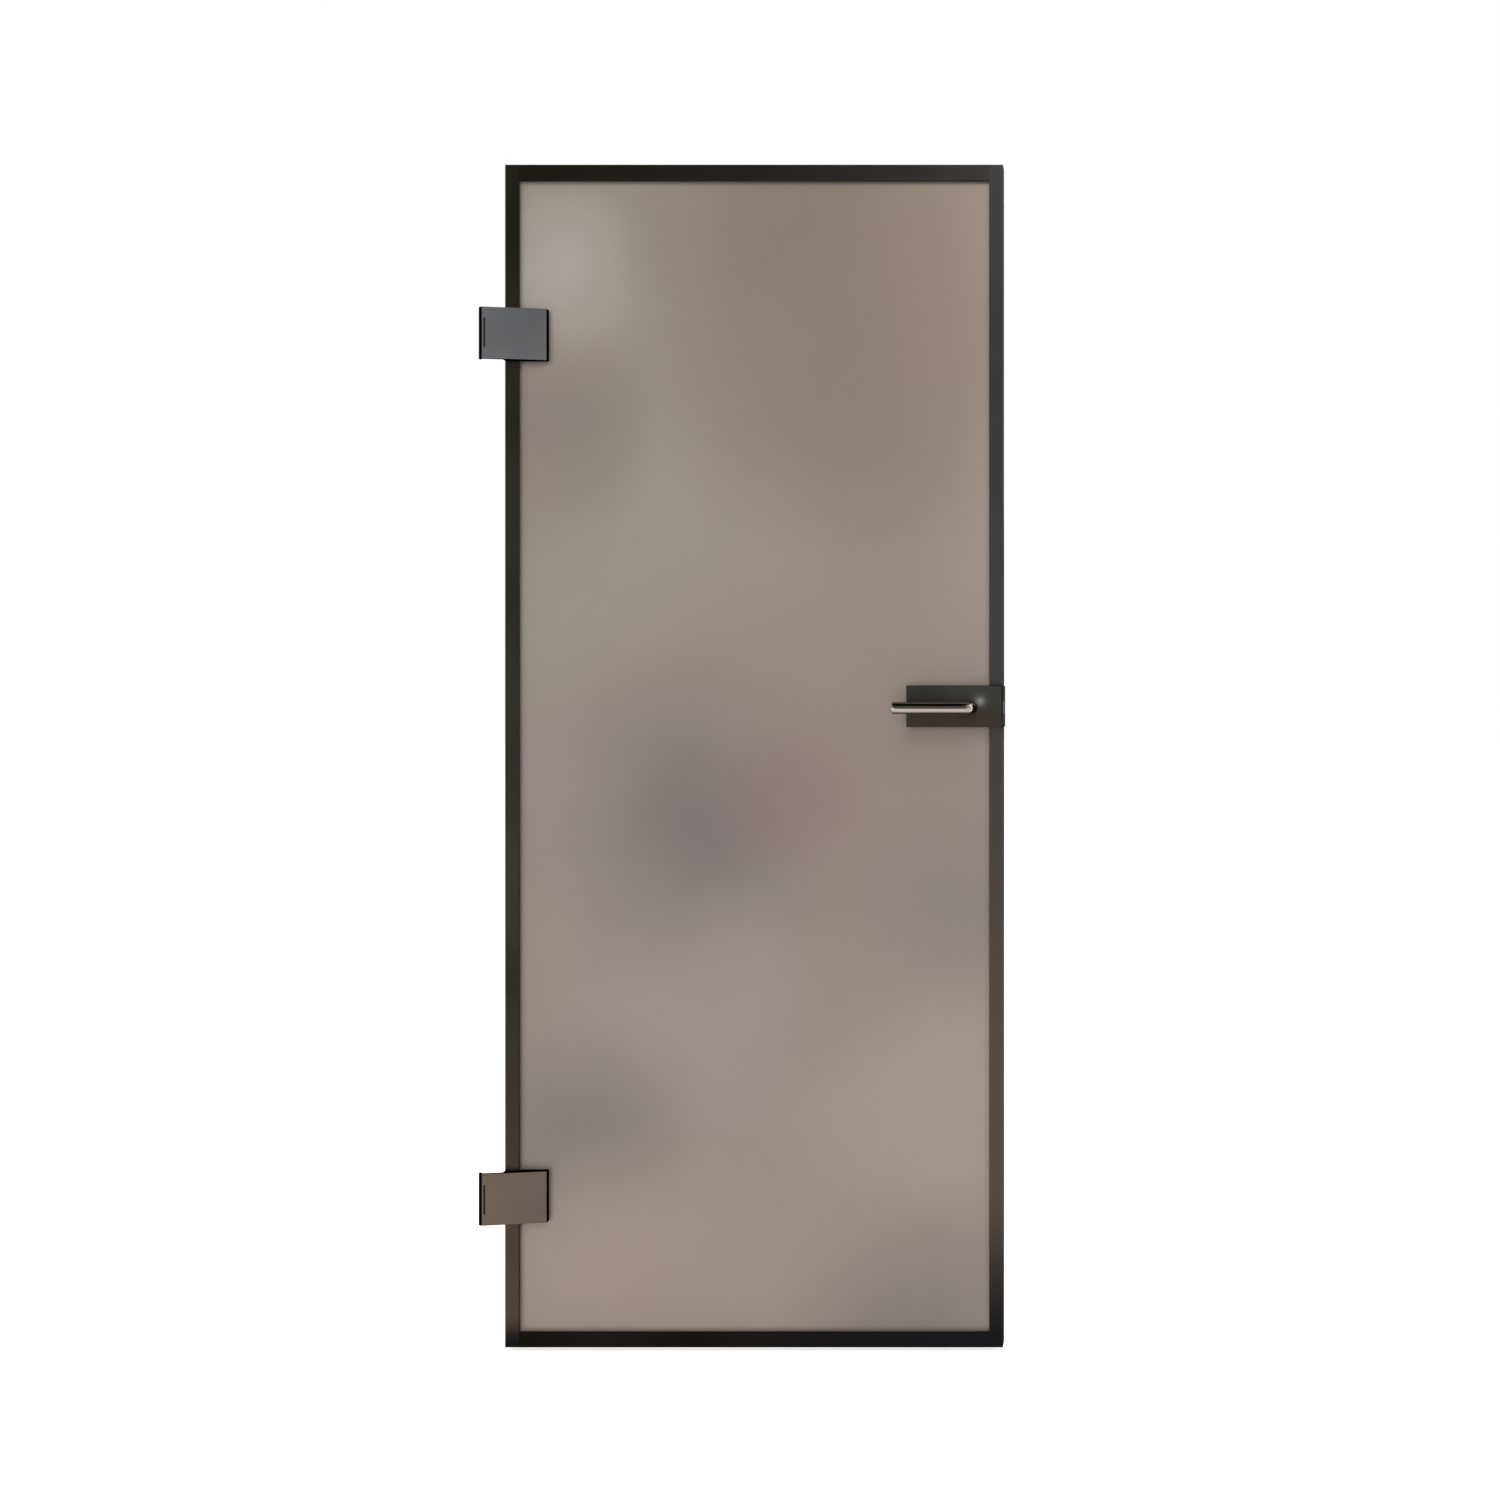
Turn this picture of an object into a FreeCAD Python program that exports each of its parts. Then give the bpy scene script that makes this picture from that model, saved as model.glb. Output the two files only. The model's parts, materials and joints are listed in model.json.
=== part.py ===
import FreeCAD, Part
import math
import os

os.makedirs("parts", exist_ok=True)

V = FreeCAD.Vector

# Driving dimensions, in millimetres.
# Frame: X to the right and Z up as seen from the front, Y away from the viewer.
# The origin is the middle of the wall face of the lower wall bracket.

# leaf
LEAF_W = 834.0             # whole leaf, outside of the stiles
LEAF_H = 1981.0
LEAF_T = 18.0              # over the lips of the aluminium profiles
GLASS_T = 8.0
PROFILE_WEB = 3.0
PROFILE_LIP = 2.0
STILE_FACE = 23.0
TOP_RAIL_FACE = 26.5
BOTTOM_RAIL_FACE = 25.0
GASKET_BACK = 2.0          # rubber between glass edge and profile web
GASKET_SET_BACK = 0.8      # rubber sits this far inside the lip

# hinges
PIVOT_Y = -20.0            # the pin stands this far in front of the wall face
LEAF_LEFT = 30.3           # pin to leaf edge
LEAF_FRONT = -15.5         # front of the lips
HINGE_FROM_BOTTOM = 253.3  # leaf bottom to the middle of the lower hinge
HINGE_FROM_TOP = 285.5     # middle of the upper hinge to the leaf top
COVER_H = 86.0
COVER_R = 9.5              # rounded edge of the cover, about the pin
COVER_OVER = 71.5          # how far the cover reaches over the leaf
COVER_END_PROUD = 3.0      # front of the cover before the lips, at its far end
COVER_WALL = 1.8
COVER_RIM = 4.0            # closed margin at top and bottom of the open side
COVER_LAP = 1.0            # rim over the leaf edge
COVER_SINK = 0.5           # caps and end wall start this deep in the front wall
COVER_GAP = 0.3            # cover to glass and stile
COVER_ARC_END = 200.0      # degrees round the pin
SLIT_X = 3.6
SLIT_W = 2.0
SLIT_H = 48.5
CLAMP_INSET = 5.0          # cover's top to the clamp's, and so at the bottom
CLAMP_CLEAR = 9.5          # fixed knuckle to the clamp between the arms
CLAMP_END_GAP = 0.8
KNUCKLE_R = 5.5
KNUCKLE_INSET = 8.0        # cover's top to the upper knuckle's, and so at the bottom
KNUCKLE_L = 11.0           # turning knuckle with its washer
KNUCKLE_PLAY = 0.1         # washer to the clamp's knuckles
WASHER_T = 1.0
WASHER_R = 5.2
PIN_D = 6.0
PIN_BORE = 6.1             # running fit
PIN_BELOW = 1.0            # pin past the lower knuckle
PIN_HEAD_R = 4.6
PIN_HEAD_T = 1.7
PIN_HEAD_GAP = 0.3
BRACKET_W = 38.0
BRACKET_H = 56.0
BRACKET_T = 5.0
BRACKET_CORNER = 4.0
BRACKET_HOLE_D = 5.5
BRACKET_HOLE_X = 24.0
BRACKET_HOLE_Z = 40.0
SINK_R = 5.2               # countersink at the plate's face
SINK_DEPTH = 2.5
WEB_T = 4.5
WEB_H = 26.0
WEB_ANGLE = 45.0
WEB_IN_PLATE = 0.5
LIP_GAP = 0.5              # clamp over the lip of the stile
LIP_SIDE_GAP = 1.0
PAD_T = 1.0
BOSS_FROM_EDGE = 47.0      # two bosses go through the glass
BOSS_INSET = 17.0          # clamp's top to the middle of a boss
BOSS_R = 5.0
BOSS_GAP = 2.0
BACK_CLAMP_T = 6.0         # over the lip
BACK_INSET = 1.2           # from the leaf edge
BACK_SLOPE = 24.0

# lock
CASE_W = 159.0
CASE_H = 69.5
CASE_PROUD = 16.0
CASE_WALL = 3.0
CASE_EDGE = 1.0
CASE_BOTTOM = 1039.0       # above the leaf bottom
CASE_PAD_RIM = 5.0
STILE_GAP = 0.3            # case and pad beside the lip of the stile
CORE_W = 93.8              # lock core with its plate, from the free edge
CORE_H = 50.0
CORE_GAP = 3.0             # glass notch round the core
CORE_BORE_R = 6.6
FOREND_H = 61.5
BOLT_DEPTH = 16.0
BOLT_T = 10.0
BOLT_BELOW = 13.0          # latch bolt, below and above the middle of the case
BOLT_ABOVE = 9.0
LEVER_SETBACK = 50.6       # from the free edge to the lever's axis
LEVER_RISE = 32.5          # from the case bottom to the lever's axis
LEVER_D = 19.0
LEVER_LENGTH = 123.0
LEVER_REACH = 45.0         # case face to the middle of the bar
LEVER_CHAMFER = 1.2
LEVER_CORNER = 3.5         # softened outer corner of the mitre
NECK_GAP = 0.3             # neck to case wall
NECK_END_GAP = 0.5         # neck to the lip of the stile
SPINDLE = 8.0
SPINDLE_IN = 15.0          # middle of the bar to the end of the spindle
BUSH_W = 30.0              # square bearing block behind the case wall
BUSH_FIT = 0.08            # running fit of the neck

OVER = 5.0                 # how far a cutting solid runs past what it cuts

# worked out from those
HINGE_PITCH = LEAF_H - HINGE_FROM_BOTTOM - HINGE_FROM_TOP
HINGES = (("lower", 0.0), ("upper", HINGE_PITCH))
LX0, LX1 = LEAF_LEFT, LEAF_LEFT + LEAF_W
LY0, LY1 = LEAF_FRONT, LEAF_FRONT + LEAF_T
LZ0, LZ1 = -HINGE_FROM_BOTTOM, LEAF_H - HINGE_FROM_BOTTOM
MID_Y = (LY0 + LY1) / 2.0
GY0, GY1 = MID_Y - GLASS_T / 2.0, MID_Y + GLASS_T / 2.0
EDGE = PROFILE_WEB + GASKET_BACK
STILE_IN0, STILE_IN1 = LX0 + STILE_FACE, LX1 - STILE_FACE
CHANNEL_Y0, CHANNEL_Y1 = LY0 + PROFILE_LIP, LY1 - PROFILE_LIP
COVER_END = LX0 + COVER_OVER
CLAMP_H = COVER_H - 2.0 * CLAMP_INSET
KNUCKLE_END = COVER_H / 2.0 - KNUCKLE_INSET
KNUCKLE_MID = KNUCKLE_END - KNUCKLE_L
BOSS_Z = CLAMP_H / 2.0 - BOSS_INSET
CLAMP_X0 = KNUCKLE_R + CLAMP_CLEAR
CLAMP_X1 = COVER_END - COVER_WALL - CLAMP_END_GAP
CLAMP_STEP = STILE_IN0 + LIP_SIDE_GAP
BOSS_X = LX0 + BOSS_FROM_EDGE
CX0 = LX1 - CASE_W
CZ0, CZ1 = LZ0 + CASE_BOTTOM, LZ0 + CASE_BOTTOM + CASE_H
CZM = (CZ0 + CZ1) / 2.0
CY0 = LY0 - CASE_PROUD
CORE_X0 = LX1 - CORE_W
AX, AZ = LX1 - LEVER_SETBACK, CZ0 + LEVER_RISE
NECK_R = LEVER_D / 2.0
BAR_Y = CY0 - LEVER_REACH


def box(x0, x1, y0, y1, z0, z1):
    return Part.makeBox(x1 - x0, y1 - y0, z1 - z0, V(x0, y0, z0))


def cyl_z(x, y, z0, z1, r):
    return Part.makeCylinder(r, z1 - z0, V(x, y, z0), V(0, 0, 1))


def cyl_y(x, z, y0, y1, r):
    return Part.makeCylinder(r, y1 - y0, V(x, y0, z), V(0, 1, 0))


def prism(points, z0, z1):
    """A closed outline in plan, carried up from z0 to z1."""
    corners = [V(x, y, z0) for x, y in points]
    wire = Part.makePolygon(corners + [corners[0]])
    return Part.Face(wire).extrude(V(0, 0, z1 - z0))


def mirror_leaf(shape):
    """The same piece on the other face of the leaf."""
    return shape.mirror(V(0, MID_Y, 0), V(0, 1, 0))


def save(name, shape):
    shape = shape.removeSplitter()
    if len(shape.Solids) == 1:
        shape = shape.Solids[0]
    shape.exportStep("parts/" + name + ".step")


# Hinge cover in plan: its front touches the round edge and slopes to the far end.
TIP_X, TIP_Y = COVER_END, LY0 - COVER_END_PROUD
SLOPE = (math.atan2(TIP_Y - PIVOT_Y, TIP_X)
         + math.asin(COVER_R / math.hypot(TIP_X, TIP_Y - PIVOT_Y)))
TOUCH = -90.0 + math.degrees(SLOPE)


def front_at(x, inset=0.0):
    """Y of the cover's front at x, or of a line set in from it."""
    return TIP_Y - (TIP_X - x) * math.tan(SLOPE) + inset / math.cos(SLOPE)


def cover_skin(wall, x_end, z0, z1):
    """Front wall with its round edge, as thick as wall."""
    def on_round(r, degrees):
        a = math.radians(degrees)
        return V(r * math.cos(a), PIVOT_Y + r * math.sin(a), z0)

    start = COVER_ARC_END - 360.0
    outer, inner = [[on_round(r, a) for a in (start, (start + TOUCH) / 2.0, TOUCH)]
                    for r in (COVER_R, COVER_R - wall)]
    end_outer = V(x_end, front_at(x_end), z0)
    end_inner = V(x_end, front_at(x_end, wall), z0)
    edges = [Part.Arc(*outer).toShape(),
             Part.makeLine(outer[2], end_outer),
             Part.makeLine(end_outer, end_inner),
             Part.makeLine(end_inner, inner[2]),
             Part.Arc(*reversed(inner)).toShape(),
             Part.makeLine(inner[0], outer[0])]
    return Part.Face(Part.Wire(edges)).extrude(V(0, 0, z1 - z0))


def hinge_cover(zc):
    """Thin shell with a front, a far end, top and bottom caps and a release slit."""
    z0, z1 = zc - COVER_H / 2.0, zc + COVER_H / 2.0
    y_back = GY0 - COVER_GAP
    shell = cover_skin(COVER_WALL, COVER_END, z0, z1)
    shell = shell.fuse(box(COVER_END - COVER_WALL, COVER_END,
                           front_at(COVER_END, COVER_SINK), y_back, z0, z1))
    cap = [(LX0, front_at(LX0, COVER_SINK)), (COVER_END, front_at(COVER_END, COVER_SINK)),
           (COVER_END, y_back), (STILE_IN0 + COVER_GAP, y_back),
           (STILE_IN0 + COVER_GAP, LY0 - COVER_GAP), (LX0, LY0 - COVER_GAP)]
    for a, b in ((z0, z0 + COVER_WALL), (z1 - COVER_WALL, z1)):
        shell = shell.fuse(prism(cap, a, b))
        shell = shell.fuse(cover_skin(COVER_RIM, LX0 + COVER_LAP, a, b))
    return shell.cut(box(SLIT_X - SLIT_W / 2.0, SLIT_X + SLIT_W / 2.0,
                         PIVOT_Y - COVER_R - OVER, PIVOT_Y - KNUCKLE_R,
                         zc - SLIT_H / 2.0, zc + SLIT_H / 2.0))


def front_clamp(zc):
    """Clamp under the cover, with two knuckles on the pin and two bosses."""
    h = CLAMP_H / 2.0
    y_lip = LY0 - LIP_GAP
    plan = [(CLAMP_X0, front_at(CLAMP_X0, COVER_WALL)), (CLAMP_X1, front_at(CLAMP_X1, COVER_WALL)),
            (CLAMP_X1, GY0 - PAD_T), (CLAMP_STEP, GY0 - PAD_T), (CLAMP_STEP, y_lip),
            (CLAMP_X0, y_lip)]
    clamp = prism(plan, zc - h, zc + h)
    inner = KNUCKLE_MID + WASHER_T + KNUCKLE_PLAY
    for a, b in ((inner, KNUCKLE_END), (-KNUCKLE_END, -inner)):
        clamp = clamp.fuse(cyl_z(0, PIVOT_Y, zc + a, zc + b, KNUCKLE_R))
        clamp = clamp.fuse(box(0, CLAMP_X0, PIVOT_Y - KNUCKLE_R, y_lip, zc + a, zc + b))
    clamp = clamp.cut(cyl_z(0, PIVOT_Y, zc - h, zc + h, PIN_BORE / 2.0))
    for k in (-1, 1):
        clamp = clamp.fuse(cyl_y(BOSS_X, zc + k * BOSS_Z, GY0 - PAD_T, GY1 + PAD_T, BOSS_R))
    return clamp


def clamp_pad(zc, y0):
    """Rubber between clamp and glass, with a square window round each boss."""
    h, w = CLAMP_H / 2.0, BOSS_R + BOSS_GAP
    pad = box(CLAMP_STEP, CLAMP_X1, y0, y0 + PAD_T, zc - h, zc + h)
    for k in (-1, 1):
        z = zc + k * BOSS_Z
        pad = pad.cut(box(BOSS_X - w, BOSS_X + w, y0 - OVER, y0 + PAD_T + OVER, z - w, z + w))
    return pad


def back_clamp(zc):
    """Plain plate behind the glass, sloped at its far end."""
    h = COVER_H / 2.0
    x0, y1 = LX0 + BACK_INSET, LY1 + BACK_CLAMP_T
    plan = [(x0, LY1 + LIP_GAP), (CLAMP_STEP, LY1 + LIP_GAP), (CLAMP_STEP, GY1 + PAD_T),
            (COVER_END, GY1 + PAD_T), (COVER_END, LY1), (COVER_END - BACK_SLOPE, y1), (x0, y1)]
    return prism(plan, zc - h, zc + h)


def wall_bracket(zc):
    """Wall plate with four countersunk holes, a slanted web and the fixed knuckle."""
    w, h = BRACKET_W / 2.0, BRACKET_H / 2.0
    plate = box(-w, w, -BRACKET_T, 0, zc - h, zc + h)
    corners = [e for e in plate.Edges
               if abs(e.Vertexes[0].Point.y - e.Vertexes[1].Point.y) > BRACKET_T / 2.0]
    plate = plate.makeFillet(BRACKET_CORNER, corners)
    a = math.radians(WEB_ANGLE)
    along = V(math.cos(a), math.sin(a), 0) * (-PIVOT_Y / math.sin(a))
    half = V(-math.sin(a), math.cos(a), 0) * (WEB_T / 2.0)
    pin = V(0, PIVOT_Y, 0)
    quad = [pin + half, pin - half, pin - half + along, pin + half + along]
    web = prism([(q.x, q.y) for q in quad], zc - WEB_H / 2.0, zc + WEB_H / 2.0)
    web = web.cut(box(-BRACKET_W, BRACKET_W, -BRACKET_T + WEB_IN_PLATE, BRACKET_W, zc - h, zc + h))
    bracket = plate.fuse(web)
    bracket = bracket.fuse(cyl_z(0, PIVOT_Y, zc - KNUCKLE_MID, zc + KNUCKLE_MID, KNUCKLE_R))
    bracket = bracket.cut(cyl_z(0, PIVOT_Y, zc - KNUCKLE_MID - OVER, zc + KNUCKLE_MID + OVER,
                                PIN_D / 2.0))
    for kx in (-1, 1):
        for kz in (-1, 1):
            x, z = kx * BRACKET_HOLE_X / 2.0, zc + kz * BRACKET_HOLE_Z / 2.0
            bracket = bracket.cut(cyl_y(x, z, -BRACKET_T - OVER, OVER, BRACKET_HOLE_D / 2.0))
            bracket = bracket.cut(Part.makeCone(SINK_R, BRACKET_HOLE_D / 2.0, SINK_DEPTH,
                                                V(x, -BRACKET_T, z), V(0, 1, 0)))
    return bracket


def hinge_pin(zc):
    """Pin with a flat head on top."""
    head = zc + KNUCKLE_END + PIN_HEAD_GAP
    pin = cyl_z(0, PIVOT_Y, zc - KNUCKLE_END - PIN_BELOW, head + PIN_HEAD_T, PIN_D / 2.0)
    return pin.fuse(cyl_z(0, PIVOT_Y, head, head + PIN_HEAD_T, PIN_HEAD_R))


def hinge_washer(z0):
    ring = cyl_z(0, PIVOT_Y, z0, z0 + WASHER_T, WASHER_R)
    return ring.cut(cyl_z(0, PIVOT_Y, z0 - OVER, z0 + WASHER_T + OVER, PIN_BORE / 2.0))


for side, zc in HINGES:
    save(side + "_wall_bracket", wall_bracket(zc))
    save(side + "_hinge_pin", hinge_pin(zc))
    save(side + "_hinge_washer_top", hinge_washer(zc + KNUCKLE_MID))
    save(side + "_hinge_washer_bottom", hinge_washer(zc - KNUCKLE_MID - WASHER_T))
    save(side + "_hinge_cover", hinge_cover(zc))
    save(side + "_hinge_front_clamp", front_clamp(zc))
    save(side + "_hinge_back_clamp", back_clamp(zc))
    save(side + "_hinge_front_pad", clamp_pad(zc, GY0 - PAD_T))
    save(side + "_hinge_back_pad", clamp_pad(zc, GY1))

# Glass pane with two holes for each hinge and a notch for the lock
sheet = box(LX0 + EDGE, LX1 - EDGE, GY0, GY1, LZ0 + EDGE, LZ1 - EDGE)
glass = sheet
for side, zc in HINGES:
    for k in (-1, 1):
        glass = glass.cut(cyl_y(BOSS_X, zc + k * BOSS_Z, GY0 - OVER, GY1 + OVER,
                                BOSS_R + BOSS_GAP))
notch = CORE_H / 2.0 + CORE_GAP
glass = glass.cut(box(CORE_X0 - CORE_GAP, LX1, GY0 - OVER, GY1 + OVER, CZM - notch, CZM + notch))
save("glass_pane", glass)


def stile(outer, inner):
    """Channel of full height from its outer face to its inner edge, the web outside."""
    side = 1 if inner > outer else -1
    web, past = outer + side * PROFILE_WEB, inner + side * OVER
    return box(min(outer, inner), max(outer, inner), LY0, LY1, LZ0, LZ1).cut(
        box(min(web, past), max(web, past), CHANNEL_Y0, CHANNEL_Y1, LZ0 - OVER, LZ1 + OVER))


def rail(outer, inner):
    """Channel between the stiles, with a tongue that closes the stile ends."""
    side = 1 if inner > outer else -1
    web, past = outer + side * PROFILE_WEB, inner + side * OVER
    channel = box(STILE_IN0, STILE_IN1, LY0, LY1, min(outer, inner), max(outer, inner)).cut(
        box(STILE_IN0 - OVER, STILE_IN1 + OVER, CHANNEL_Y0, CHANNEL_Y1,
            min(web, past), max(web, past)))
    return channel.fuse(box(LX0 + PROFILE_WEB, LX1 - PROFILE_WEB, CHANNEL_Y0, CHANNEL_Y1,
                            min(outer, web), max(outer, web)))


FOREND_Z0, FOREND_Z1 = CZM - FOREND_H / 2.0, CZM + FOREND_H / 2.0
save("hinge_stile", stile(LX0, STILE_IN0))
save("lock_stile", stile(LX1, STILE_IN1).cut(
    box(LX1 - PROFILE_WEB, LX1 + OVER, LY0 - OVER, LY1 + OVER, FOREND_Z0, FOREND_Z1)))
save("top_rail", rail(LZ1, LZ1 - TOP_RAIL_FACE))
save("bottom_rail", rail(LZ0, LZ0 + BOTTOM_RAIL_FACE))


def gasket(x0, x1, z0, z1):
    """Rubber channel on the edge of the glass."""
    return box(x0, x1, CHANNEL_Y0, CHANNEL_Y1, z0, z1).cut(sheet)


GASKET_X0, GASKET_X1 = STILE_IN0 - GASKET_SET_BACK, STILE_IN1 + GASKET_SET_BACK
GASKET_Z0, GASKET_Z1 = LZ0 + PROFILE_WEB, LZ1 - PROFILE_WEB
save("hinge_stile_gasket", gasket(LX0 + PROFILE_WEB, GASKET_X0, GASKET_Z0, GASKET_Z1))
save("lock_stile_gasket", gasket(GASKET_X1, LX1 - PROFILE_WEB, GASKET_Z0, GASKET_Z1).cut(
    box(GASKET_X1 - OVER, LX1, LY0, LY1, FOREND_Z0, FOREND_Z1)))
save("top_rail_gasket", gasket(GASKET_X0, GASKET_X1,
                               LZ1 - TOP_RAIL_FACE + GASKET_SET_BACK, GASKET_Z1))
save("bottom_rail_gasket", gasket(GASKET_X0, GASKET_X1,
                                  GASKET_Z0, LZ0 + BOTTOM_RAIL_FACE - GASKET_SET_BACK))

# Lock case, front half: open behind, with a step over the stile
case = box(CX0, LX1, CY0, GY0 - PAD_T, CZ0, CZ1)
front_edges = [e for e in case.Edges if e.BoundBox.YMax < CY0 + CASE_EDGE]
case = case.makeFillet(CASE_EDGE, front_edges)
case = case.cut(box(CX0 + CASE_WALL, LX1 - CASE_WALL, CY0 + CASE_WALL, GY0,
                    CZ0 + CASE_WALL, CZ1 - CASE_WALL))
case = case.cut(box(STILE_IN1 - STILE_GAP, LX1 + OVER, LY0, GY0, CZ0 - OVER, CZ1 + OVER))
case = case.cut(cyl_y(AX, AZ, CY0 - OVER, CY0 + CASE_WALL + OVER, NECK_R + NECK_GAP))
save("lock_case_front", case)
save("lock_case_back", mirror_leaf(case))

# Bearing blocks behind the case walls, which the lever necks turn in
h = BUSH_W / 2.0
bushing = box(AX - h, AX + h, CY0 + CASE_WALL, LY0, AZ - h, AZ + h)
bushing = bushing.cut(cyl_y(AX, AZ, CY0, LY0 + OVER, NECK_R + BUSH_FIT))
save("front_lever_bushing", bushing)
save("back_lever_bushing", mirror_leaf(bushing))

# Rubber pad rings under the two halves
pad = box(CX0, STILE_IN1 - STILE_GAP, GY0 - PAD_T, GY0, CZ0, CZ1)
pad = pad.cut(box(CX0 + CASE_PAD_RIM, STILE_IN1 + OVER, GY0 - OVER, GY0 + OVER,
                  CZ0 + CASE_PAD_RIM, CZ1 - CASE_PAD_RIM))
save("lock_front_pad", pad)
save("lock_back_pad", mirror_leaf(pad))

# Lock core with its plate, and the latch bolt in it
core = box(CORE_X0, LX1 - PROFILE_WEB, CHANNEL_Y0, CHANNEL_Y1,
           CZM - CORE_H / 2.0, CZM + CORE_H / 2.0)
core = core.fuse(box(LX1 - PROFILE_WEB, LX1, LY0, LY1, FOREND_Z0, FOREND_Z1))
bolt = box(LX1 - BOLT_DEPTH, LX1, MID_Y - BOLT_T / 2.0, MID_Y + BOLT_T / 2.0,
           CZM - BOLT_BELOW, CZM + BOLT_ABOVE)
core = core.cut(bolt)
core = core.cut(cyl_y(AX, AZ, LY0 - OVER, LY1 + OVER, CORE_BORE_R))
save("lock_core", core)
save("latch_bolt", bolt)


def spindle_box(y0, y1):
    h = SPINDLE / 2.0
    return box(AX - h, AX + h, y0, y1, AZ - h, AZ + h)


def lever():
    """A round bar with a mitred corner, and the neck that runs into the case."""
    near, far = NECK_R * 3.0, NECK_R * 9.0
    z0, z1 = AZ - far, AZ + far
    end_x = AX - LEVER_LENGTH
    bar = Part.makeCylinder(NECK_R, LEVER_LENGTH + near, V(end_x, BAR_Y, AZ), V(1, 0, 0))
    end = [e for e in bar.Edges if e.BoundBox.XMax < end_x + LEVER_CHAMFER]
    bar = bar.makeChamfer(LEVER_CHAMFER, end)
    neck = cyl_y(AX, AZ, BAR_Y - near, LY0 - NECK_END_GAP, NECK_R)
    # the mitre plane holds the line from the inner to the outer corner
    inner, outer = (AX - near, BAR_Y + near), (AX + near, BAR_Y - near)
    past_bar = prism([inner, outer, (AX + far, BAR_Y - near), (AX + far, BAR_Y + near)], z0, z1)
    past_neck = prism([inner, outer, (AX + near, BAR_Y - far), (AX - far, BAR_Y - far),
                       (AX - far, BAR_Y + near)], z0, z1)
    shape = bar.cut(past_bar).fuse(neck.cut(past_neck))
    x, y = AX + NECK_R - LEVER_CORNER, BAR_Y - NECK_R + LEVER_CORNER
    corner = box(x, AX + near, BAR_Y - near, y, z0, z1).cut(cyl_z(x, y, z0, z1, LEVER_CORNER))
    return shape.cut(corner).cut(spindle_box(BAR_Y + SPINDLE_IN, LY1))


front_lever = lever()
save("front_lever", front_lever)
save("back_lever", mirror_leaf(front_lever))
spindle_y0 = BAR_Y + SPINDLE_IN
save("lever_spindle", spindle_box(spindle_y0, 2.0 * MID_Y - spindle_y0))
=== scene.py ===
import json
import math
import bmesh
import bpy
import numpy as np
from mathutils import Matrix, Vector


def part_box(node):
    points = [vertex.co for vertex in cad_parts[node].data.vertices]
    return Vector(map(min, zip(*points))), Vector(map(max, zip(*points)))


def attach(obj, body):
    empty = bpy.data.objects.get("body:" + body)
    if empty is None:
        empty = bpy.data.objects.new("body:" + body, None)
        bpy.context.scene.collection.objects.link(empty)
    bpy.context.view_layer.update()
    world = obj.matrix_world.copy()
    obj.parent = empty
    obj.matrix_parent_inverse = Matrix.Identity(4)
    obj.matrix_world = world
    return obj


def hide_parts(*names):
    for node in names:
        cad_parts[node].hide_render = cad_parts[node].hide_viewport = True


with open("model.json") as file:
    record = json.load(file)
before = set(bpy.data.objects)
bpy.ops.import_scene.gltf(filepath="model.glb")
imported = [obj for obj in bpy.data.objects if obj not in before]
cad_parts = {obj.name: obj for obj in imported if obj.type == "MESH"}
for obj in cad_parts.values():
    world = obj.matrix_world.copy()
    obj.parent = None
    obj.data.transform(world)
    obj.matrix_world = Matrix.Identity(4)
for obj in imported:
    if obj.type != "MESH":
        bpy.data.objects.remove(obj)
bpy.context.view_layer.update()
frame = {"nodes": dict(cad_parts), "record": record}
nodes = frame["nodes"]
MM = 0.001

# Studio
# The photograph is taken square to the leaf, whose outline is a true rectangle in it, so the
# camera looks straight along +Y with its frame shifted. A pale floor lies just under the leaf,
# and soft lamps stand above, beside, low in front of and behind it.
PHOTO_SIDE = 1500
MM_PER_PIXEL = 1.6747              # at the front of the leaf
AXIS_PIXEL = (1125.0, 700.0)       # where the camera's axis meets the photo
LEAF_CORNER_PIXEL = (505.0, 1347.5)
CAMERA_DISTANCE = 1.837
CAMERA_SIGHT = 100.0
SENSOR = 36.0


def placed(name, data):
    """A new object in the scene."""
    item = bpy.data.objects.new(name, data)
    bpy.context.scene.collection.objects.link(item)
    return item


leaf_low, leaf_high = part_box("hinge_stile")[0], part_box("lock_stile")[1]
camera_data = bpy.data.cameras.new("camera")
camera = placed("camera", camera_data)
camera_data.sensor_width = SENSOR
camera_data.lens = SENSOR * CAMERA_DISTANCE / (PHOTO_SIDE * MM_PER_PIXEL * MM)
camera_data.shift_x = (PHOTO_SIDE / 2 - AXIS_PIXEL[0]) / PHOTO_SIDE
camera_data.shift_y = (AXIS_PIXEL[1] - PHOTO_SIDE / 2) / PHOTO_SIDE
camera_data.clip_end = CAMERA_SIGHT
camera.location = (leaf_low.x + (AXIS_PIXEL[0] - LEAF_CORNER_PIXEL[0]) * MM_PER_PIXEL * MM,
                   leaf_low.y - CAMERA_DISTANCE,
                   leaf_low.z + (LEAF_CORNER_PIXEL[1] - AXIS_PIXEL[1]) * MM_PER_PIXEL * MM)
camera.rotation_euler = (math.pi / 2, 0.0, 0.0)
bpy.context.scene.camera = camera
bpy.context.scene.view_settings.view_transform = "Standard"


def new_material(name):
    """A material with its Principled shader; returns material, node tree, shader."""
    material = bpy.data.materials.new(name)
    material.use_nodes = True
    tree = material.node_tree
    return material, tree, tree.nodes["Principled BSDF"]


def add(tree, kind, inputs=None, **settings):
    """One node with its settings; an input is a value or, where it is a socket, a link."""
    node = tree.nodes.new(kind)
    for key, value in settings.items():
        setattr(node, key, value)
    for key, value in (inputs or {}).items():
        if isinstance(value, bpy.types.NodeSocket):
            tree.links.new(value, node.inputs[key])
        else:
            node.inputs[key].default_value = value
    return node


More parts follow.
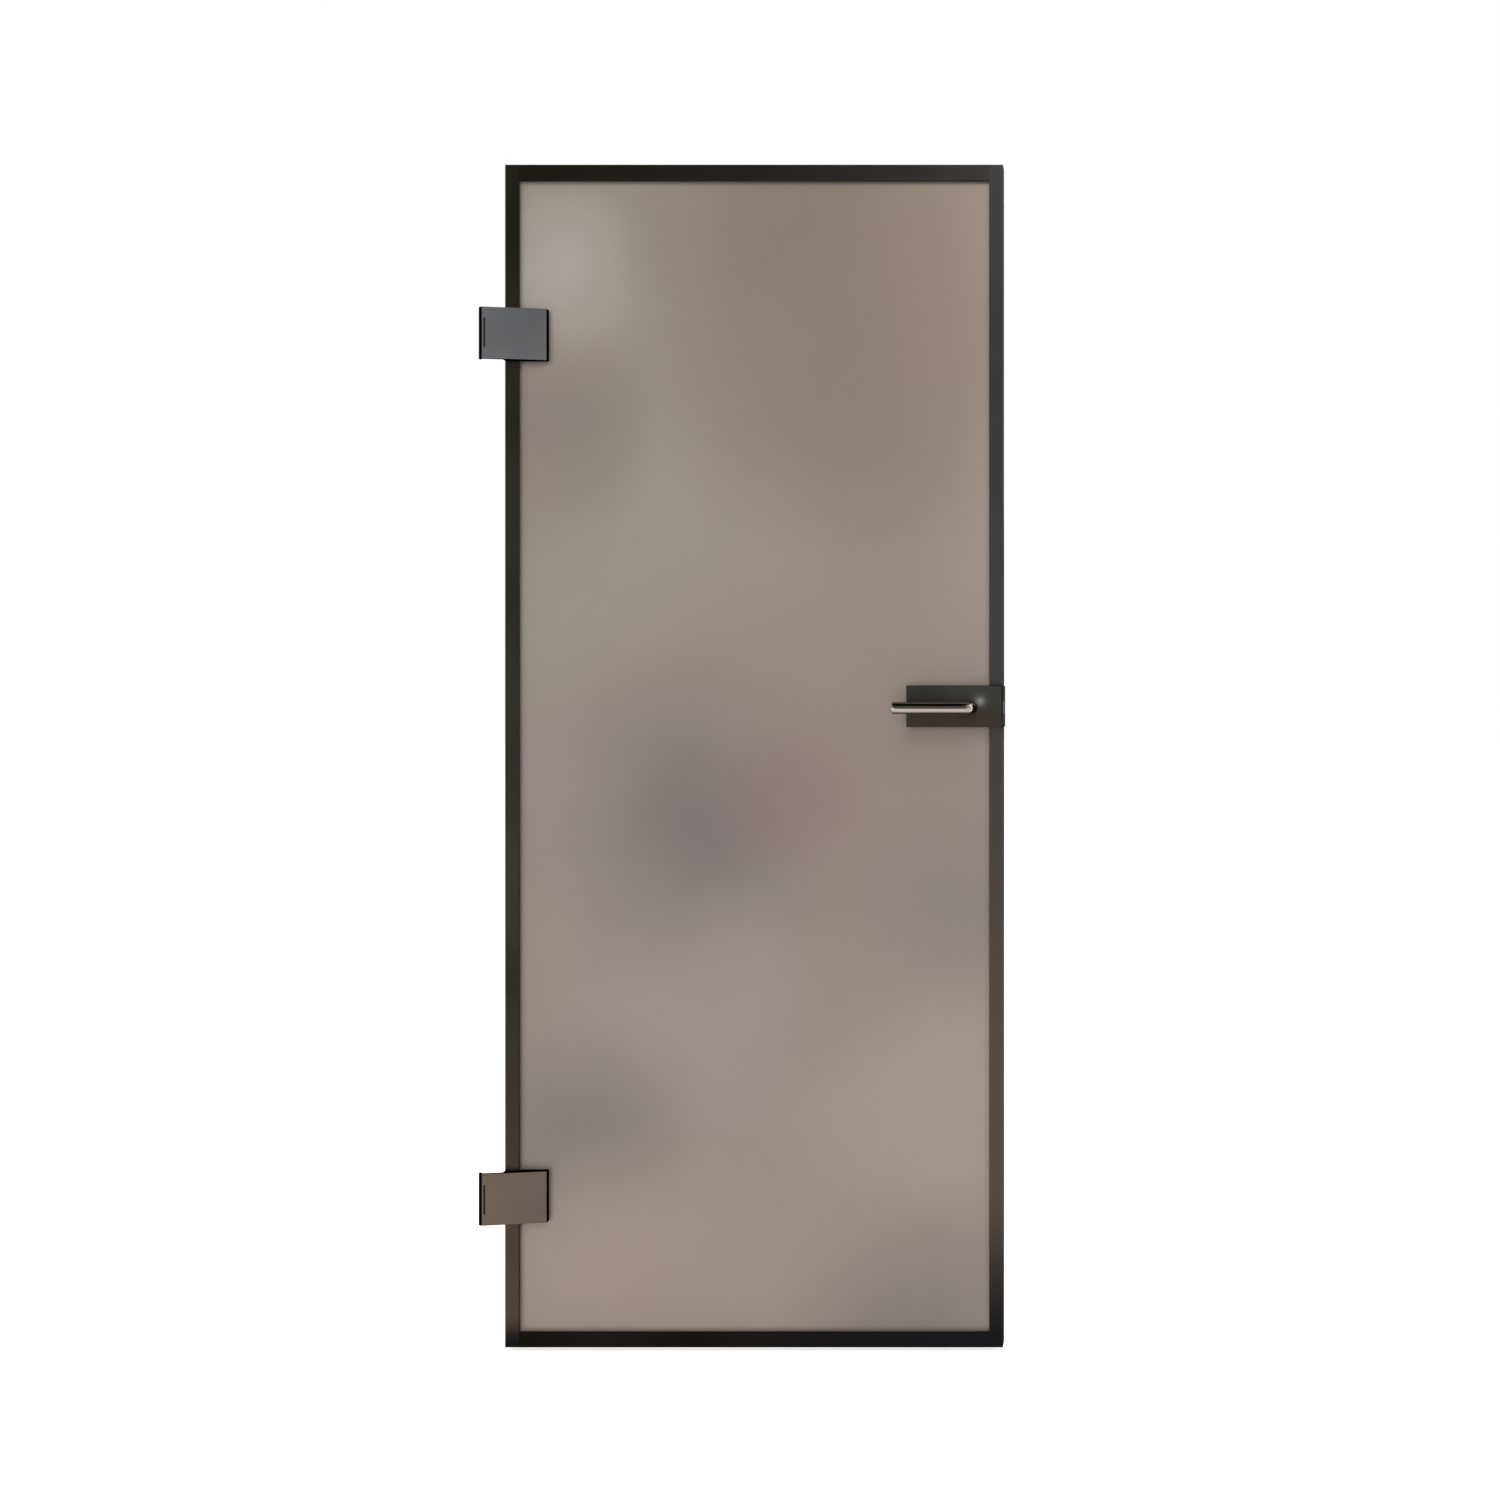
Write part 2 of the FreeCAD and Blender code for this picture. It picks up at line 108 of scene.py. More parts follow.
def ramp(tree, value, start, end, first=0.0, last=1.0, ease="SMOOTHSTEP"):
    """first where a value is at start and last where it is at end, eased or linear between."""
    return add(tree, "ShaderNodeMapRange", {0: value, 1: start, 2: end, 3: first, 4: last},
               interpolation_type=ease).outputs[0]


def object_place(tree):
    """Where the surface lies, in the part's own metres."""
    return add(tree, "ShaderNodeTexCoord").outputs["Object"]


def seen_directly(tree):
    """1 for camera, glossy and transmission rays, so that metal and glass show the same
    background as the camera, and 0 for all others."""
    path = add(tree, "ShaderNodeLightPath")
    seen = add(tree, "ShaderNodeMath", {0: path.outputs["Is Camera Ray"],
                                        1: path.outputs["Is Glossy Ray"]}, operation="MAXIMUM")
    return add(tree, "ShaderNodeMath",
               {0: seen.outputs[0], 1: path.outputs["Is Transmission Ray"]},
               operation="MAXIMUM").outputs[0]


WHITE = (1.0, 1.0, 1.0, 1.0)
WORLD_FILL = 0.66
world = bpy.data.worlds.new("studio")
bpy.context.scene.world = world
world.use_nodes = True
tree = world.node_tree
tree.nodes.clear()
strength = ramp(tree, seen_directly(tree), 0.0, 1.0, WORLD_FILL, 1.0, ease="LINEAR")
background = add(tree, "ShaderNodeBackground", {"Color": WHITE, "Strength": strength})
add(tree, "ShaderNodeOutputWorld", {"Surface": background.outputs[0]})

FLOOR_GAP = 8.0 * MM
FLOOR_RADIUS = 30.0
FLOOR_SIDES = 64
FLOOR_TONE = (0.86, 0.86, 0.86, 1.0)
FLOOR_ROUGH = 0.9
FLOOR_GLOW = 0.55
floor_mesh = bpy.data.meshes.new("floor")
turn = np.linspace(0, 2 * np.pi, FLOOR_SIDES, endpoint=False)
rim = np.column_stack([FLOOR_RADIUS * np.cos(turn), FLOOR_RADIUS * np.sin(turn),
                       np.full(FLOOR_SIDES, leaf_low.z - FLOOR_GAP)])
floor_mesh.from_pydata(rim.tolist(), [], [list(range(FLOOR_SIDES))])
floor = placed("floor", floor_mesh)
floor_material, tree, shader = new_material("floor_white")
shader.inputs["Base Color"].default_value = FLOOR_TONE
shader.inputs["Roughness"].default_value = FLOOR_ROUGH
shader.inputs["Specular IOR Level"].default_value = 0.0
shader.inputs["Emission Color"].default_value = WHITE
glow = add(tree, "ShaderNodeMath", {0: seen_directly(tree), 1: FLOOR_GLOW},
           operation="MULTIPLY")
tree.links.new(glow.outputs[0], shader.inputs["Emission Strength"])
floor_mesh.materials.append(floor_material)

# name, place and width in metres, watts; each points at the middle of the leaf
LAMPS = (("key_lamp", (1.7, -2.7, 4.2), 2.0, 86.0),
         ("side_lamp", (3.4, -1.7, 1.5), 1.2, 24.0),
         ("low_lamp", (-0.9, -2.6, -0.1), 1.2, 10.0),
         ("back_lamp", (1.6, 3.0, 2.6), 2.0, 60.0))
leaf_middle = (leaf_low + leaf_high) / 2
for name, place, width, power in LAMPS:
    data = bpy.data.lights.new(name, "AREA")
    data.size = width
    data.energy = power
    lamp = placed(name, data)
    lamp.location = place
    lamp.rotation_euler = (leaf_middle - Vector(place)).to_track_quat("-Z", "Y").to_euler()

# A dark backdrop hangs 3 m in front, from just over the floor, and arches overhead. It is
# grey in its lower part and black above, and only mirrors show it: it gives polished metal
# its dark band.
ARCH_REACH = 3.0
ARCH_FROM, ARCH_TO = -18.5, 106.0    # degrees over level, seen from the lever
ARCH_LEFT, ARCH_RIGHT = -0.55, 0.61  # X in metres
ARCH_STEPS = 32
ARCH_BLACK = (0.004, 0.004, 0.004, 1.0)
ARCH_GLOW_TONE = (1.0, 0.97, 0.95, 1.0)
ARCH_GREY = 0.22
GREY_UP_TO = 30.0                    # degrees over level
GREY_FADE = 0.1                      # metres over and under that height
lever_low, lever_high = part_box("front_lever")
sweep = np.radians(np.linspace(ARCH_FROM, ARCH_TO, ARCH_STEPS))
sides = [np.column_stack([np.full_like(sweep, x), lever_low.y - ARCH_REACH * np.cos(sweep),
                          lever_high.z + ARCH_REACH * np.sin(sweep)])
         for x in (ARCH_LEFT, ARCH_RIGHT)]
arch_mesh = bpy.data.meshes.new("dark_backdrop")
arch_mesh.from_pydata(np.concatenate(sides).tolist(), [],
                      [[i, i + 1, ARCH_STEPS + i + 1, ARCH_STEPS + i]
                       for i in range(ARCH_STEPS - 1)])
arch = placed("dark_backdrop", arch_mesh)
arch.visible_camera = arch.visible_diffuse = arch.visible_transmission = False
arch.visible_shadow = False
arch_material, tree, shader = new_material("backdrop_dark")
shader.inputs["Base Color"].default_value = ARCH_BLACK
shader.inputs["Specular IOR Level"].default_value = 0.0
shader.inputs["Emission Color"].default_value = ARCH_GLOW_TONE
height = add(tree, "ShaderNodeSeparateXYZ", {0: object_place(tree)}).outputs["Z"]
edge = lever_high.z + ARCH_REACH * math.sin(math.radians(GREY_UP_TO))
tree.links.new(ramp(tree, height, edge - GREY_FADE, edge + GREY_FADE, ARCH_GREY, 0.0,
                    ease="LINEAR"), shader.inputs["Emission Strength"])
arch_mesh.materials.append(arch_material)

# A small lamp by the lever's neck stands for the light that the neck throws on the lock case.
GLINT_RADIUS = 3.0 * MM
GLINT_POWER = 0.012
GLINT_TONE = (0.88, 0.92, 1.0)
GLINT_ASIDE = 1.5 * MM               # past the neck, and over it
GLINT_OUT = 28.0 * MM                # in front of the lock case
data = bpy.data.lights.new("glint_lamp", "POINT")
data.shadow_soft_size = GLINT_RADIUS
data.energy = GLINT_POWER
data.color = GLINT_TONE
glint = placed("glint_lamp", data)
glint.location = (lever_high.x + GLINT_ASIDE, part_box("lock_case_front")[0].y - GLINT_OUT,
                  lever_high.z + GLINT_ASIDE)
glint.visible_camera = False

# Glass pane
# One sheet of 8 mm toughened glass, bronze in the mass and acid-etched, so that it lets light
# through without showing what is behind it. Soft patches of painted light and shade lie on its
# colour. Rubber holds it on all four edges, and it has two holes for each hinge and a notch for
# the lock.
SLOT_OF = {part["node"]: part["material_slot"] for part in frame["record"]["subparts"]}


def new_group(name, inputs, output):
    """A shader group with its sockets; returns tree, inputs, a function that ends it."""
    group = bpy.data.node_groups.new(name, "ShaderNodeTree")
    for label, socket_kind, value in inputs:
        socket = group.interface.new_socket(label, in_out="INPUT", socket_type=socket_kind)
        if value is not None:
            socket.default_value = value
    group.interface.new_socket(output, in_out="OUTPUT", socket_type="NodeSocketFloat")
    source, sink = group.nodes.new("NodeGroupInput"), group.nodes.new("NodeGroupOutput")
    return group, source.outputs, lambda socket: group.links.new(socket, sink.inputs[output])


# a slow change from 0 to 1 and back over the surface
DRIFT_DETAIL = 1.5
DRIFT_ROUGH = 0.45
DRIFT_FROM, DRIFT_TO = 0.3, 0.7
soft_drift, given, give = new_group(
    "soft_drift", [("Vector", "NodeSocketVector", None), ("Scale", "NodeSocketFloat", 2.0)],
    "Value")
noise = add(soft_drift, "ShaderNodeTexNoise",
            {"Vector": given["Vector"], "Scale": given["Scale"], "Detail": DRIFT_DETAIL,
             "Roughness": DRIFT_ROUGH})
give(ramp(soft_drift, noise.outputs["Fac"], DRIFT_FROM, DRIFT_TO))

# strongest at a centre, gone at its reach
soft_patch, given, give = new_group(
    "soft_patch", [("Vector", "NodeSocketVector", None), ("Centre", "NodeSocketVector", None),
                   ("Reach", "NodeSocketFloat", 0.3), ("Strength", "NodeSocketFloat", 1.0)],
    "Value")
away = add(soft_patch, "ShaderNodeVectorMath", {0: given["Vector"], 1: given["Centre"]},
           operation="DISTANCE")
give(ramp(soft_patch, away.outputs["Value"], 0.0, given["Reach"], given["Strength"], 0.0))

# the tooth that etching or blasting leaves
GRAIN_DETAIL = 3.0
GRAIN_ROUGH = 0.7
fine_grain, given, give = new_group(
    "fine_grain", [("Vector", "NodeSocketVector", None), ("Scale", "NodeSocketFloat", 2500.0)],
    "Height")
give(add(fine_grain, "ShaderNodeTexNoise",
         {"Vector": given["Vector"], "Scale": given["Scale"], "Detail": GRAIN_DETAIL,
          "Roughness": GRAIN_ROUGH}).outputs["Fac"])

# faint marks of hands and cloths, as a rougher or smoother patch here and there
SMEAR_SCALE = 14.0
SMEAR_DETAIL = 4.0
SMEAR_ROUGH = 0.6
SMEAR_BEND = 0.8
SMEAR_FROM, SMEAR_TO = 0.25, 0.75
handled, given, give = new_group(
    "handled", [("Vector", "NodeSocketVector", None), ("Base", "NodeSocketFloat", 0.4),
                ("Amount", "NodeSocketFloat", 0.05)], "Roughness")
smears = add(handled, "ShaderNodeTexNoise",
             {"Vector": given["Vector"], "Scale": SMEAR_SCALE, "Detail": SMEAR_DETAIL,
              "Roughness": SMEAR_ROUGH, "Distortion": SMEAR_BEND})
span = ramp(handled, smears.outputs["Fac"], SMEAR_FROM, SMEAR_TO, -1.0, 1.0, ease="LINEAR")
give(add(handled, "ShaderNodeMath", {0: span, 1: given["Amount"], 2: given["Base"]},
         operation="MULTIPLY_ADD").outputs[0])


def use(tree, group, **inputs):
    """The group placed in a material with its values or links; returns its output."""
    node = tree.nodes.new("ShaderNodeGroup")
    node.node_tree = group
    for key, value in inputs.items():
        if isinstance(value, bpy.types.NodeSocket):
            tree.links.new(value, node.inputs[key])
        else:
            node.inputs[key].default_value = value
    return node.outputs[0]


def tone_mix(tree, factor, first, second):
    """A colour between two, by a factor. A mix node's colours are its inputs 6 and 7, and its
    output 2."""
    mix = tree.nodes.new("ShaderNodeMix")
    mix.data_type = "RGBA"
    tree.links.new(factor, mix.inputs[0])
    for index, colour in ((6, first), (7, second)):
        if isinstance(colour, bpy.types.NodeSocket):
            tree.links.new(colour, mix.inputs[index])
        else:
            mix.inputs[index].default_value = (*colour, 1)
    return mix.outputs[2]


def toned_material(name, drift, dark, light, tone=None):
    """A material whose colour drifts between two tones; returns material, tree, shader, place.
    tone(tree, place, colour) may change the colour over the piece."""
    material, tree, shader = new_material(name)
    place = object_place(tree)
    colour = tone_mix(tree, use(tree, soft_drift, Vector=place, Scale=drift), dark, light)
    if tone is not None:
        colour = tone(tree, place, colour)
    tree.links.new(colour, shader.inputs["Base Color"])
    return material, tree, shader, place


def relief(tree, shader, height, strength, depth):
    """A height as bump."""
    bump = add(tree, "ShaderNodeBump",
               {"Height": height, "Strength": strength, "Distance": depth})
    tree.links.new(bump.outputs[0], shader.inputs["Normal"])


def paint(node, material):
    """Gives a node that is shown as it is its finish."""
    mesh = nodes[node].data
    mesh.materials.clear()
    mesh.materials.append(material)


GLASS_LOW = (0.295, 0.244, 0.208)
GLASS_HIGH = (0.330, 0.275, 0.238)
GLASS_PALE = (0.440, 0.398, 0.362)
GLASS_GREEN = (0.345, 0.312, 0.240)
GLASS_BROWN = (0.236, 0.184, 0.144)
GLASS_SLATE = (0.205, 0.172, 0.160)
GLASS_ROSE = (0.270, 0.178, 0.168)
GLASS_LILAC = (0.335, 0.278, 0.272)
GLASS_SAND = (0.388, 0.315, 0.266)
# patches of painted light and shade, for what lies round and behind the glass: centre and reach
# of each soft patch in metres, its strength and its tint
GLASS_PAINTED_PATCHES = (((0.28, 0.0, 1.56), 0.38, 0.60, GLASS_GREEN),
               ((0.11, 0.0, 1.55), 0.19, 0.90, GLASS_PALE),
               ((0.30, 0.0, 1.16), 0.32, 0.80, GLASS_GREEN),
               ((0.10, 0.0, 0.98), 0.24, 0.80, GLASS_GREEN),
               ((0.58, 0.0, 1.62), 0.46, 0.95, GLASS_BROWN),
               ((0.66, 0.0, 1.34), 0.42, 0.80, GLASS_BROWN),
               ((0.78, 0.0, 1.60), 0.30, 0.60, GLASS_BROWN),
               ((0.13, 0.0, 1.29), 0.17, 0.55, GLASS_SLATE),
               ((0.35, 0.0, 0.62), 0.33, 1.00, GLASS_SLATE),
               ((0.52, 0.0, 0.67), 0.19, 0.70, GLASS_ROSE),
               ((0.76, 0.0, 0.47), 0.24, 0.55, GLASS_SLATE),
               ((0.10, 0.0, 0.70), 0.22, 0.60, GLASS_LILAC),
               ((0.36, 0.0, 0.28), 0.26, 0.80, GLASS_LILAC),
               ((0.15, 0.0, 0.10), 0.24, 0.85, GLASS_SLATE),
               ((0.20, 0.0, -0.13), 0.30, 0.85, GLASS_SAND),
               ((0.45, 0.0, -0.13), 0.26, 0.60, GLASS_SAND),
               ((0.74, 0.0, 0.12), 0.26, 0.40, GLASS_SAND),
               ((0.72, 0.0, -0.19), 0.26, 0.55, GLASS_SLATE))
PATCH_WARP = 0.14
WARP_SCALE = 3.2
WARP_DETAIL = 1.0


def painted_light_and_shade(tree, place, colour):
    """Soft patches of painted light and shade laid over the colour, at places that noise shifts
    by up to half of
    PATCH_WARP each way, so that no patch is round."""
    wander = add(tree, "ShaderNodeTexNoise",
                 {"Vector": place, "Scale": WARP_SCALE, "Detail": WARP_DETAIL})
    warped = add(tree, "ShaderNodeVectorMath",
                 {0: wander.outputs["Color"], 1: (PATCH_WARP,) * 3, 2: place},
                 operation="MULTIPLY_ADD").outputs[0]
    for centre, reach, amount, tint in GLASS_PAINTED_PATCHES:
        patch = use(tree, soft_patch, Vector=warped, Centre=np.add(centre, PATCH_WARP / 2),
                    Reach=reach, Strength=amount)
        colour = tone_mix(tree, patch, colour, tint)
    return colour


GLASS_DRIFT = 2.3
GLASS_ROUGH = 0.52
GLASS_SMEAR = 0.03
GLASS_GRAIN = 2200.0
GLASS_TOOTH = 0.15
GLASS_DEPTH = 0.1 * MM
GLASS_CLEAR = 0.45
GLASS_IOR = 1.5
glass, tree, shader, place = toned_material("bronze_etched_glass", GLASS_DRIFT, GLASS_LOW,
                                            GLASS_HIGH, tone=painted_light_and_shade)
tree.links.new(use(tree, handled, Vector=place, Base=GLASS_ROUGH, Amount=GLASS_SMEAR),
               shader.inputs["Roughness"])
relief(tree, shader, use(tree, fine_grain, Vector=place, Scale=GLASS_GRAIN), GLASS_TOOTH,
       GLASS_DEPTH)
shader.inputs["Transmission Weight"].default_value = GLASS_CLEAR
shader.inputs["IOR"].default_value = GLASS_IOR
paint("glass_pane", glass)

# Stiles and rails
# Black anodised aluminium channels round the glass. The stiles run the full height and the
#  rails butt between them, held by tongues in the stile ends. The extrusion leaves faint lines
#  along each length, and the saw and the deburring a small broken edge. Painted reflection and
#  painted shade change their colour along each piece.
BODY_OF = {node: body for body, names in frame["record"]["behaviour"]["bodies"].items()
           for node in names}
X, Y, Z = 0, 1, 2
SHARP = math.radians(32.0)           # a bend over this is an edge
FLAT = math.radians(0.6)             # a bend under this is none
SAME_POINT = 0.005 * MM              # closer points are one
BEVEL_STEPS = 3
EDGE_TINT = (0.12, 0.12, 0.12, 1.0)  # dark anodising stays dark at a glancing angle

# lines drawn along one axis: noise pulled long by the stretch
LINE_SCALE = 1400.0
LINE_DETAIL = 2.0
LINE_ROUGH = 0.6
drawn_lines, given, give = new_group(
    "drawn_lines", [("Vector", "NodeSocketVector", None),
                    ("Stretch", "NodeSocketVector", (1.0, 1.0, 0.01)),
                    ("Scale", "NodeSocketFloat", LINE_SCALE)], "Height")
pulled = add(drawn_lines, "ShaderNodeVectorMath", {0: given["Vector"], 1: given["Stretch"]},
             operation="MULTIPLY")
give(add(drawn_lines, "ShaderNodeTexNoise",
         {"Vector": pulled.outputs[0], "Scale": given["Scale"], "Detail": LINE_DETAIL,
          "Roughness": LINE_ROUGH}).outputs["Fac"])


def along(tree, vector, axis, start, end):
    """0 at start and 1 at end along one axis, eased at both ends."""
    split = add(tree, "ShaderNodeSeparateXYZ", {0: vector})
    return ramp(tree, split.outputs[axis], start, end)


METAL_GRAIN = 3000.0
METAL_TOOTH = 0.12
METAL_DEPTH = 0.08 * MM
METAL_SMEAR = 0.05


def satin_metal(name, dark, light, rough, drift, stretch=None, tone=None):
    """Satin metal between two tones, with drawn lines or, without a stretch, a fine tooth,
    and with marks of handling."""
    material, tree, shader, place = toned_material(name, drift, dark, light, tone)
    tree.links.new(use(tree, handled, Vector=place, Base=rough, Amount=METAL_SMEAR),
                   shader.inputs["Roughness"])
    if stretch is None:
        height = use(tree, fine_grain, Vector=place, Scale=METAL_GRAIN)
    else:
        height = use(tree, drawn_lines, Vector=place, Stretch=stretch)
    relief(tree, shader, height, METAL_TOOTH, METAL_DEPTH)
    shader.inputs["Metallic"].default_value = 1.0
    shader.inputs["Specular Tint"].default_value = EDGE_TINT
    return material


def finished(mesh, work, material):
    """A new object of the worked mesh, smooth between its edges, in one material."""
    for face in work.faces:
        face.smooth = True
    work.to_mesh(mesh)
    work.free()
    mesh.set_sharp_from_angle(angle=SHARP)
    mesh.materials.clear()
    mesh.materials.append(material)
    return placed(mesh.name, mesh)


def dressed(node, edge, material):
    """A merged copy of a node's mesh, with its edges broken by a bevel of width edge."""
    mesh = nodes[node].data.copy()
    mesh.name = node + "_finished"
    work = bmesh.new()
    work.from_mesh(mesh)
    bmesh.ops.remove_doubles(work, verts=work.verts, dist=SAME_POINT)
    bmesh.ops.dissolve_limit(work, angle_limit=FLAT, verts=work.verts, edges=work.edges)
    piece = finished(mesh, work, material)
    bevel = piece.modifiers.new("broken edge", "BEVEL")
    bevel.width = edge
    bevel.segments = BEVEL_STEPS
    bevel.limit_method = "ANGLE"
    bevel.angle_limit = SHARP
    bevel.harden_normals = True
    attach(piece, BODY_OF[node])
    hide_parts(node)


# the frame's own colours, and the warmer, cooler, greyer and darker tones laid over them as
# painted reflection and painted shade
BLACK_DEEP = (0.0195, 0.0168, 0.0128)
BLACK_SOFT = (0.0320, 0.0280, 0.0232)
STILE_WARM_REFLECTION = (0.068, 0.047, 0.034)
LOCK_GREY = (0.057, 0.057, 0.057)
LOCK_PAINTED_SHADE = (0.041, 0.041, 0.041)
LOCK_WARM_REFLECTION = (0.066, 0.052, 0.042)
FOOT_PAINTED_SHADE = (0.0090, 0.0088, 0.0095)
RAIL_DEEP = (0.0078, 0.0062, 0.0045)
RAIL_SOFT = (0.0110, 0.0092, 0.0082)
RAIL_COOL_REFLECTION = (0.0088, 0.0088, 0.0106)
TOP_DEEP = (0.0160, 0.0132, 0.0100)
TOP_SOFT = (0.0225, 0.0192, 0.0160)
TOP_GREY_REFLECTION = (0.0360, 0.0330, 0.0305)
FRAME_ROUGH = 0.42
FRAME_DRIFT = 4.0
FRAME_EDGE = 0.45 * MM
LINES_UP = (1.0, 1.0, 0.004)
LINES_ACROSS = (0.004, 1.0, 1.0)

# where each change of painted reflection and painted shade starts and is complete, as heights on
#  the stiles and as X on the rails, in metres
HINGE_WARM_AT = (0.30, -0.30)
HINGE_FOOT_AT = (-0.195, -0.245)
LOCK_SHADE_AT = (0.9, 1.5)
LOCK_WARM_AT = (1.1, 0.3)
LOCK_FOOT_AT = (0.05, -0.25)
TOP_GREY_AT = (0.10, 0.85)
RAIL_COOL_AT = (0.35, 0.80)


def hinge_stile_painted_light(tree, place, colour):
    """Painted reflection, warmer and lighter downwards, and painted shade, dark at the foot."""
    warm = tone_mix(tree, along(tree, place, Z, *HINGE_WARM_AT), colour, STILE_WARM_REFLECTION)
    return tone_mix(tree, along(tree, place, Z, *HINGE_FOOT_AT), warm, FOOT_PAINTED_SHADE)


def lock_stile_painted_light(tree, place, colour):
    """Painted reflection, darker above the lock and warmer below it, and painted shade, dark at
    the foot.
    """
    shade = tone_mix(tree, along(tree, place, Z, *LOCK_SHADE_AT), colour, LOCK_PAINTED_SHADE)
    warm = tone_mix(tree, along(tree, place, Z, *LOCK_WARM_AT), shade, LOCK_WARM_REFLECTION)
    return tone_mix(tree, along(tree, place, Z, *LOCK_FOOT_AT), warm, FOOT_PAINTED_SHADE)


def top_rail_painted_light(tree, place, colour):
    """Painted reflection, lighter towards the lock side."""
    return tone_mix(tree, along(tree, place, X, *TOP_GREY_AT), colour, TOP_GREY_REFLECTION)


def bottom_rail_painted_light(tree, place, colour):
    """Painted reflection, cooler towards the lock side."""
    return tone_mix(tree, along(tree, place, X, *RAIL_COOL_AT), colour, RAIL_COOL_REFLECTION)


for node, dark, light, lines, tone in (
        ("hinge_stile", BLACK_DEEP, BLACK_SOFT, LINES_UP, hinge_stile_painted_light),
        ("lock_stile", LOCK_GREY, LOCK_GREY, LINES_UP, lock_stile_painted_light),
        ("top_rail", TOP_DEEP, TOP_SOFT, LINES_ACROSS, top_rail_painted_light),
        ("bottom_rail", RAIL_DEEP, RAIL_SOFT, LINES_ACROSS, bottom_rail_painted_light)):
    dressed(node, FRAME_EDGE,
            satin_metal(node + "_black", dark, light, FRAME_ROUGH, FRAME_DRIFT, lines, tone))

# Gaskets
# Black rubber channels pushed over the glass edge, and a rounded rubber bead that fills the
# gap between lip and glass on both faces. Rubber pads lie under the clamps and the lock too.
RUBBER_DARK = (0.008, 0.008, 0.008)
RUBBER_LIGHT = (0.016, 0.015, 0.014)
RUBBER_DRIFT = 30.0
RUBBER_GRAIN = 1800.0
RUBBER_TOOTH = 0.3
RUBBER_DEPTH = 0.1 * MM
RUBBER_ROUGH = 0.72
rubber, tree, shader, place = toned_material("black_rubber", RUBBER_DRIFT, RUBBER_DARK,
                                             RUBBER_LIGHT)
relief(tree, shader, use(tree, fine_grain, Vector=place, Scale=RUBBER_GRAIN), RUBBER_TOOTH,
       RUBBER_DEPTH)
shader.inputs["Roughness"].default_value = RUBBER_ROUGH
for node, slot in SLOT_OF.items():
    if slot == "rubber":
        paint(node, rubber)


def grid_piece(name, grids, material, body, wrap_rows=False):
    """A piece from grids of points. Point (i, j) of a grid joins (i + 1, j) and (i, j + 1),
    columns close round it, and rows too where wrap_rows. Doubles are merged and the normals
    made to face outwards."""
    points, faces = [], []
    for grid in grids:
        rows, columns = grid.shape[:2]
        i, j = np.meshgrid(np.arange(rows if wrap_rows else rows - 1), np.arange(columns),
                           indexing="ij")
        i2, j2 = (i + 1) % rows, (j + 1) % columns
        quads = np.stack([i * columns + j, i2 * columns + j, i2 * columns + j2,
                          i * columns + j2], -1)
        faces += (quads.reshape(-1, 4) + len(points)).tolist()
        points += grid.reshape(-1, 3).tolist()
    mesh = bpy.data.meshes.new(name)
    mesh.from_pydata(points, [], faces)
    work = bmesh.new()
    work.from_mesh(mesh)
    bmesh.ops.remove_doubles(work, verts=work.verts, dist=SAME_POINT)
    bmesh.ops.recalc_face_normals(work, faces=work.faces)
    piece = finished(mesh, work, material)
    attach(piece, body)
    return piece


BEAD_POINTS = 9
BEAD_PROUD = 0.15 * MM               # past the lip, into the opening
BEAD_BACK = 1.2 * MM                 # behind the lip's edge, where the half round starts
BEAD_ROOT = 2 * BEAD_BACK            # behind the lip's edge, where the bead ends
glass_low, glass_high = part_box("glass_pane")
gasket_low, gasket_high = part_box("hinge_stile_gasket")
opening_x = (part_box("hinge_stile")[1].x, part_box("lock_stile")[0].x)
opening_z = (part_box("bottom_rail")[1].z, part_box("top_rail")[0].z)


def glazing_bead(name, y_lip, y_glass):
    """A half round between lip and glass, t from 0 to pi: depth (1 - cos t) / 2 of the way to
    the glass, and sin t of the way out to its proud line. It is set at each corner of the
    opening, pointing to the middle, so that the four sides meet in mitres."""
    turn = np.linspace(0, np.pi, BEAD_POINTS)
    proud = np.append(np.sin(turn) * (BEAD_PROUD + BEAD_BACK) - BEAD_BACK, [-BEAD_ROOT] * 2)
    y = y_lip + (y_glass - y_lip) * np.append((1 - np.cos(turn)) / 2, [1.0, 0.0])
    rows = np.stack([np.column_stack([opening_x[a] + proud * (1 - 2 * a), y,
                                      opening_z[b] + proud * (1 - 2 * b)])
                     for a, b in ((0, 0), (1, 0), (1, 1), (0, 1))])
    grid_piece(name, [rows], rubber, "leaf", wrap_rows=True)


glazing_bead("front_glazing_bead", gasket_low.y, glass_low.y)
glazing_bead("back_glazing_bead", gasket_high.y, glass_high.y)

# Wall brackets
# Black steel plates screwed to the door frame. A slanted web carries the middle knuckle, and
# a ground steel pin through it carries the leaf, with a plastic washer above and below.
BRACKET_DARK = (0.035, 0.035, 0.036)
BRACKET_LIGHT = (0.055, 0.054, 0.053)
BRACKET_ROUGH = 0.38
BRACKET_DRIFT = 25.0
GROUND_DARK = (0.40, 0.40, 0.41)
GROUND_LIGHT = (0.52, 0.51, 0.50)
GROUND_ROUGH = 0.28
GROUND_DRIFT = 60.0
bracket_metal = satin_metal("bracket_black_steel", BRACKET_DARK, BRACKET_LIGHT, BRACKET_ROUGH,
                            BRACKET_DRIFT)
ground_steel = satin_metal("ground_steel", GROUND_DARK, GROUND_LIGHT, GROUND_ROUGH,
                           GROUND_DRIFT)

